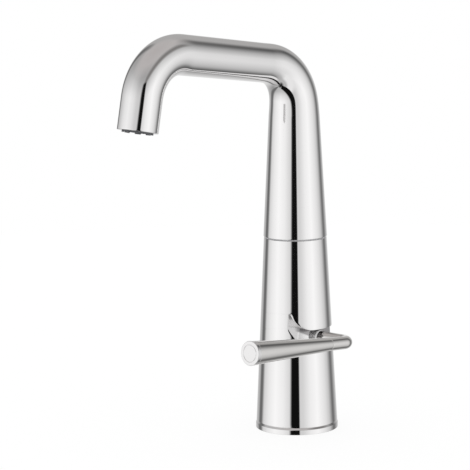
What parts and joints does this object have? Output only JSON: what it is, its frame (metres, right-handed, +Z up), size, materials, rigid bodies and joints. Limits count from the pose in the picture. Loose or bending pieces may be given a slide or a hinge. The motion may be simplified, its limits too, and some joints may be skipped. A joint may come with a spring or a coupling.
{
  "type": "basin mixer tap",
  "caption": "Single-lever basin mixer tap with a tapered round column, a swivelling bent spout with an aerator and a side lever that swings out for flow and turns for temperature.",
  "frame": {"origin": "centre of the base's underside, at the mouth of the stud hole, on the deck", "axes": "+Z up the column, -Y towards the spout's outlet, +X towards the lever's side"},
  "size_m": [0.0777, 0.1721, 0.2524],
  "materials": {
    "chrome": "polished chrome plate on brass",
    "satin_chrome": "slightly satin chrome plate",
    "brass": "machined brass",
    "copper_tube": "drawn copper tube",
    "steel": "stainless steel",
    "rubber": "matte black rubber",
    "plastic": "moulded white plastic",
    "grey_plastic": "moulded pale grey plastic",
    "dark_plastic": "moulded dark plastic"
  },
  "bodies": {
    "body": {"base_ring": "chrome", "base_seal": "rubber", "column": "chrome", "inlet_manifold": "brass", "cold_tube": "copper_tube", "hot_tube": "copper_tube", "carrier_gasket": "rubber", "rear_plug": "chrome", "seat_carrier": "plastic", "inlet_seats": "rubber", "ball_cam": "plastic", "swivel_spigot": "brass", "spigot_orings": "rubber", "retaining_clip": "steel", "glide_ring": "grey_plastic"},
    "spout": {"spout": "chrome", "swivel_bush": "plastic", "aerator_housing": "dark_plastic", "aerator_core": "dark_plastic", "aerator_screen": "steel", "flow_regulator": "dark_plastic", "aerator_washer": "rubber"},
    "guide": {"swing_guide": "chrome"},
    "lever": {"valve_ball": "steel", "lever_elbow": "satin_chrome", "lever_set_screw": "steel", "lever_bar": "satin_chrome", "lever_end_cap": "chrome"}
  },
  "joints": [
    {"name": "spout_swivel", "type": "hinge", "parent": "body", "child": "spout", "pos_m": [0, 0, 0.1215], "axis": [0, 0, 1], "range_deg": [-60, 60]},
    {"name": "lever_swing", "type": "hinge", "parent": "body", "child": "guide", "pos_m": [0, 0, 0.0597], "axis": [0, 0, 1], "range_deg": [0, 22]},
    {"name": "lever_turn", "type": "hinge", "parent": "guide", "child": "lever", "pos_m": [0, 0, 0.0597], "axis": [1, 0, 0], "range_deg": [-35, 35]}
  ]
}
